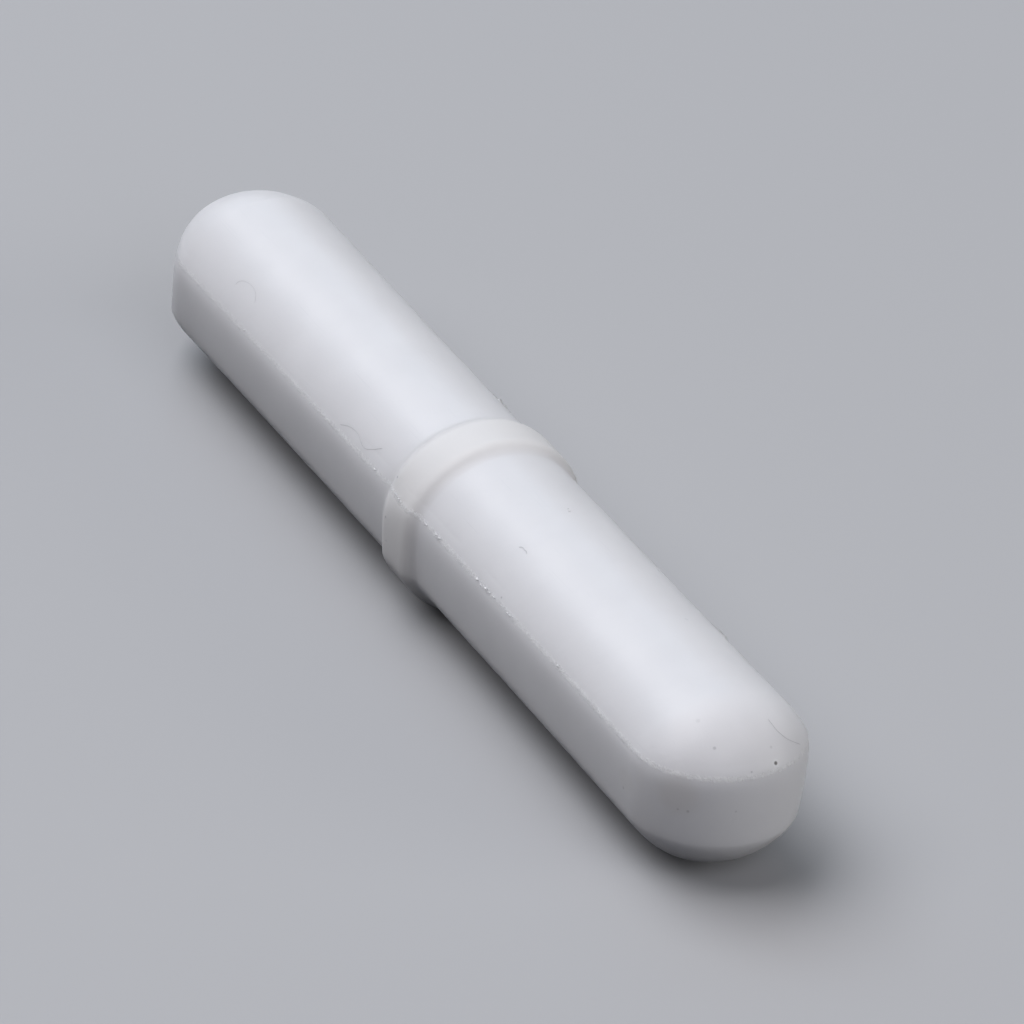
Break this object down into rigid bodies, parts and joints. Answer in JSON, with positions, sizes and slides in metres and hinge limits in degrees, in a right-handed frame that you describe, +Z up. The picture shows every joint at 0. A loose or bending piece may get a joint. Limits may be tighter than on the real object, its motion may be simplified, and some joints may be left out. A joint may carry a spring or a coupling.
{
  "type": "magnetic stir bar",
  "caption": "White moulded stir bar with flat sides, round ends and a low pivot ring round its middle, sealed over a straight bar magnet.",
  "frame": {"origin": "on the surface that the bar stands on, under the middle of the pivot ring", "axes": "+X along the bar, +Z up through the crown of its top arc, the side faces look along +Y and -Y"},
  "size_m": [0.051, 0.0088, 0.0086],
  "materials": {
    "white_jacket": "waxy satin white, slightly translucent fluoropolymer",
    "cast_magnet": "ground grey cast alloy"
  },
  "bodies": {
    "root": {"jacket": "white_jacket", "bar_magnet": "cast_magnet"}
  },
  "joints": []
}
